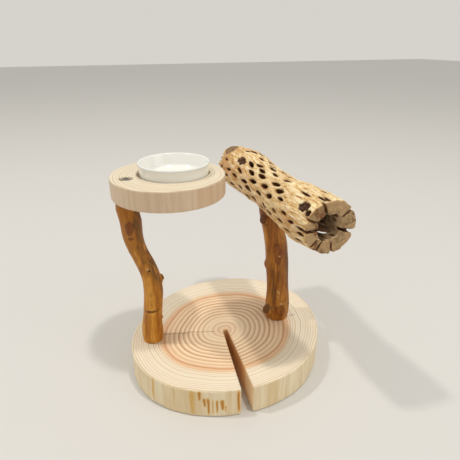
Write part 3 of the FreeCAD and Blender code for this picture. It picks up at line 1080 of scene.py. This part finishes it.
def base_material():
    """End grain with heartwood and sapwood, a peeled side with runs, and sawn kerf walls."""
    surface = Surface("log slice")
    edge = (surface.noise((1, 1, 0.3), 22, 3) - 0.5) * 0.05
    growth = surface.mark("growth") + edge
    start = HEARTWOOD_SHARE
    wood = surface.ramp(
        growth,
        (0.0, 232, 202, 168),
        (0.18, 246, 224, 190),
        (0.50, 246, 222, 186),
        (start - 0.08, 240, 212, 176),
        (start - 0.03, 230, 190, 150),
        (start - 0.005, 236, 204, 168),
        (start + 0.02, 240, 230, 208),
        (0.80, 240, 232, 212),
        (1.0, 236, 226, 204),
    )
    dark = surface.ramp(
        growth,
        (0.0, 184, 138, 98),
        (start - 0.10, 184, 126, 82),
        (start - 0.03, 206, 156, 112),
        (start + 0.012, 212, 188, 152),
        (1.0, 208, 184, 148),
    )
    line = rings(surface, growth, 19, 38, 0) * (growth.rise(0.0, 0.5, 0.65) + 0.40)
    end_grain = surface.mix(
        wood,
        (line, dark),
        (surface.noise((1, 1, 1), 45, 4, 0.55) * 0.12, (196, 150, 108)),
        # A drying check and a thin painted shadow line, both in dark brown.
        (check_and_painted_shadow_lines(surface) * 0.8, (112, 72, 42)),
    )
    streaks = surface.noise((1, 1, 0.07), 190, 4, 0.6)
    broad = surface.noise((1, 1, 0.15), 38, 3)
    runs = surface.mark("stain") + (streaks - 0.5) * 0.9
    tones = ((0.0, 218, 196, 154), (0.50, 230, 212, 176), (1.0, 238, 224, 192))
    peeled = surface.mix(
        surface.ramp(streaks.rise(0.25, 0.75), *tones),
        (broad.rise(0.48, 0.66, 0.45), (216, 184, 128)),
        (runs.rise(0.10, 0.50), (216, 174, 98)),
        (runs.rise(0.50, 0.85), (186, 124, 44)),
    )
    sawn = surface.ramp(
        growth,
        (0.0, 228, 180, 124),
        (start - 0.02, 234, 186, 128),
        (start + 0.02, 240, 214, 170),
        (1.0, 242, 218, 176),
    )
    sawn = surface.mix(sawn, (streaks * 0.35, (176, 118, 66)))
    body = surface.mix(end_grain, (surface.mark("side"), peeled), (surface.mark("kerf"), sawn))
    grain = surface.noise((1, 1, 0.15), 300, 4, 0.6)
    normal = surface.bump(streaks * 0.6 + grain * 0.4, 0.5, 0.0005)
    return surface.finish(body, grain * 0.12 + 0.48, {"Normal": normal})


def shelf_material():
    """Pale sanded wood: faint rings on the flat faces and faint upright streaks on the side."""
    surface = Surface("shelf wood")
    line = rings(surface, surface.mark("growth"), 15, 18, 3)
    mottle = surface.noise((1, 1, 1), 40, 4)
    top = surface.mix((226, 216, 194), (line * 0.75, (192, 164, 124)), (mottle * 0.14, (206, 180, 142)))
    streaks = surface.noise((1, 1, 0.05), 240, 4, 0.6)
    broad = surface.noise((1, 1, 0.10), 45, 3)
    tones = ((0.0, 202, 174, 144), (0.5, 209, 183, 153), (1.0, 215, 191, 163))
    side = surface.mix(
        surface.ramp(streaks.rise(0.3, 0.7), *tones),
        (broad.rise(0.5, 0.72, 0.25), (200, 162, 118)),
    )
    body = surface.mix(top, (surface.mark("side"), side))
    return surface.finish(body, 0.46, {"Normal": surface.bump(streaks, 0.3, 0.0003)})


def branch_material(name, tones, knot_share, seed):
    """A peeled, oiled branch: streaks up its length, knots, a weathered band, pale flecks and a painted
    shadow where the post's patches put one.
    """
    deep, middle, light = tones
    surface = Surface(name)
    streaks = surface.noise((1, 1, 0.10), 260 + seed, 5, 0.62, 0.3)
    broad = surface.noise((1, 1, 0.22), 60 + seed, 3, 0.5, 0.4)
    fine = surface.noise((1, 1, 0.09), 560, 4, 0.65, 0.2)
    speck = surface.noise((1, 1, 0.45), 420, 4, 0.6)
    tone = streaks * 0.5 + broad * 0.5
    knot = surface.mark("knot")
    wood = surface.mix(
        surface.ramp(tone.rise(0.26, 0.74), (0.10, *deep), (0.48, *middle), (0.95, *light)),
        (fine.rise(0.46, 0.66, 0.5), deep),
        (fine.rise(0.46, 0.32, 0.4), light),
        (speck.rise(0.56, 0.70, 0.4), deep),
        # Painted shadow: the shelf's shade over the top of the post, in the deep tone.
        (surface.mark("painted_shelf_shadow") * 0.7, deep),
        (surface.mark("band") * streaks.rise(0.70, 0.40, 0.7), (88, 62, 34)),
        (knot * knot_share, (108, 50, 14)),
        (knot.rise(0.10, 0.45) * knot.rise(0.95, 0.55, 0.5), (74, 34, 10)),
        (surface.mark("crack"), (50, 24, 10)),
        (surface.mark("pale") * 0.75, (208, 168, 112)),
        (surface.mark("cut") * 0.7, (74, 42, 18)),
    )
    normal = surface.bump(streaks + fine * 0.6, 0.9, 0.0007)
    return surface.finish(wood, 0.45, {"Normal": normal, "Specular IOR Level": 0.3})


def cholla_material():
    """Weathered cholla: cream and tan fibres, painted shade at the hole rims and inside the holes, dark knot
    hollows, a bore with pale patches of painted light, and grey-brown sawn ends with painted shade on their
    left-hand petals.
    """
    surface = Surface("cholla wood")
    _, along, _ = surface.parts(surface.place)
    weave = surface.node("CombineXYZ", {0: surface.mark("weave") * MM, 1: along * 0.16}).outputs[0]
    fibre = surface.noise(weave, 900, 3, 0.55, 0.3)
    strand = surface.noise(weave, 330, 3, 0.55, 0.4)
    patch = surface.noise((1, 0.6, 1), 90, 4, 0.6, 0.3)
    blotch = surface.noise((1, 0.8, 1), 30, 3)
    speck = surface.noise((1, 0.5, 1), 420, 4, 0.65)
    ridges = surface.noise((1, 6, 1), 420, 3, 0.6)
    grit = surface.noise((1, 1, 1), 520, 4, 0.6)
    shade = surface.noise((1, 1, 1), 85, 3)
    tone = fibre * 0.45 + strand * 0.55
    depth = surface.mark("depth")
    fibres = surface.ramp(
        tone.rise(0.33, 0.67),
        (0.0, 148, 98, 42),
        (0.22, 202, 162, 102),
        (0.50, 232, 206, 154),
        (0.80, 244, 229, 186),
        (1.0, 250, 240, 208),
    )
    # Painted shade inside the holes: their walls go brown below the surface.
    inner = surface.ramp(depth * 0.1, (0.10, 126, 80, 38), (0.60, 104, 68, 38))
    scar = surface.mix((88, 60, 32), (ridges.rise(0.35, 0.65), (166, 130, 86)))
    # Painted light in the bore: pale patches over the brown stand in for the daylight that comes in through
    # the holes.
    bore = surface.mix((84, 58, 36), (patch.rise(0.36, 0.62), (222, 190, 148)))
    face = surface.mix(
        surface.ramp(grit, (0.32, 106, 78, 46), (0.50, 152, 122, 84), (0.66, 184, 156, 116)),
        # Painted shade, with a redder tone, on the left-hand petals, in patches.
        (shade.rise(0.40, 0.60, 0.85) * surface.mark("petal_painted_shade"), (122, 74, 38)),
        (shade.rise(0.56, 0.44, 0.5), (206, 170, 122)),
    )
    knot = surface.mix((46, 26, 13), (grit.rise(0.35, 0.62), (100, 66, 38)))
    wood = surface.mix(
        fibres,
        (patch.rise(0.34, 0.56, 0.75) * surface.mark("tan"), (190, 126, 58)),
        (blotch.rise(0.50, 0.66, 0.35), (206, 166, 112)),
        (speck.rise(0.57, 0.68, 0.45), (152, 106, 56)),
        # Painted shade towards the holes, at their rims and on their walls inside.
        (surface.mark("near") * 0.35, (176, 126, 70)),
        (surface.mark("rim"), (78, 44, 16)),
        (depth.rise(1.3, 2.4), inner),
        (surface.mark("scar"), scar),
        # Painted light in the bore.
        (surface.mark("bore"), bore),
        (surface.mark("cut"), face),
        (surface.mark("knot"), knot),
    )
    normal = surface.bump(tone + grit * 0.25, 1.0, 0.0016)
    return surface.finish(wood, 0.62, {"Normal": normal, "Specular IOR Level": 0.3})


def glaze_material():
    """White glazed pottery."""
    surface = Surface("white glaze")
    glaze = surface.mix((240, 241, 236), (surface.noise((1, 1, 1), 60, 3), (234, 234, 227)))
    normal = surface.bump(surface.noise((1, 1, 1), 70, 1), 0.04, 0.0002)
    return surface.finish(glaze, 0.18, {"Normal": normal, "Coat Weight": 1.0, "Coat Roughness": 0.04})


def steel_material():
    """Dark blued steel, a little scratched."""
    surface = Surface("screw steel")
    scratch = surface.noise((1, 0.2, 1), 1800, 3, 0.6)
    steel = surface.mix((104, 99, 95), (scratch, (176, 171, 165)))
    normal = surface.bump(scratch, 0.2, 0.0001)
    return surface.finish(steel, scratch * 0.25 + 0.28, {"Normal": normal, "Metallic": 1.0})


# ---- scene


def stage_floor():
    """A plain pale floor under the object."""
    half = 6.0
    mesh = bpy.data.meshes.new("floor")
    corners = [(-half, -half, 0), (half, -half, 0), (half, half, 0), (-half, half, 0)]
    mesh.from_pydata(corners, [], [(0, 1, 2, 3)])
    surface = Surface("floor")
    mesh.materials.append(surface.finish((211, 210, 207), 0.6))
    floor = bpy.data.objects.new("floor", mesh)
    bpy.context.scene.collection.objects.link(floor)


def lamp(name, place, target, size, power, shade):
    """A square soft light that faces a point."""
    light = bpy.data.lights.new(name, "AREA")
    light.size = size
    light.energy = power
    light.color = shade[:3]
    holder = bpy.data.objects.new(name, light)
    holder.location = place
    way = Vector(target) - Vector(place)
    holder.rotation_euler = way.to_track_quat("-Z", "Y").to_euler()
    bpy.context.scene.collection.objects.link(holder)


def lights():
    """A key light high on the left, a ceiling light over the right front, and pale air."""
    middle = (0.0, 0.0, 0.10)
    warm = colour(255, 250, 244)
    lamp("key", (-0.98, 0.39, 2.10), middle, 0.12, 13.2, warm)
    lamp("ceiling", (0.26, -0.37, 2.10), middle, 0.12, 12.4, warm)
    lamp("front", (1.15, -1.2, 1.15), middle, 1.2, 3.8, warm)
    world = bpy.data.worlds.new("air")
    bpy.context.scene.world = world
    world.use_nodes = True
    background = world.node_tree.nodes["Background"]
    background.inputs["Color"].default_value = (0.50, 0.485, 0.455, 1.0)
    background.inputs["Strength"].default_value = 1.34


def camera():
    """The photograph's view."""
    lens = bpy.data.cameras.new("camera")
    lens.lens = 33.65
    lens.clip_start = 0.01
    holder = bpy.data.objects.new("camera", lens)
    holder.location = (-0.1399, -0.3657, 0.3181)
    holder.rotation_euler = (math.radians(90 - 23.92), 0, math.radians(-21.7))
    bpy.context.scene.collection.objects.link(holder)
    bpy.context.scene.camera = holder


def screws(frame):
    """The CAD screws and washer keep their shapes and get the steel."""
    steel = steel_material()
    for node in ("shelf_screw", "perch_screw", "shelf_post_screw", "perch_post_screw", "perch_washer"):
        part = frame["nodes"][node]
        part.data.materials.clear()
        part.data.materials.append(steel)


def main():
    """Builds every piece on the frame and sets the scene."""
    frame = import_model()
    base(base_material())
    shelf(shelf_material())
    dish(glaze_material())
    shelf_tones = ((150, 88, 16), (196, 130, 36), (224, 164, 70))
    shelf_post(branch_material("shelf post branch", shelf_tones, 0.75, 0))
    perch_tones = ((108, 58, 8), (156, 94, 22), (200, 140, 54))
    perch_post(branch_material("perch post branch", perch_tones, 0.55, 7))
    perch(cholla_material())
    screws(frame)
    stage_floor()
    lights()
    camera()
    bpy.context.scene.view_settings.view_transform = "Standard"


main()
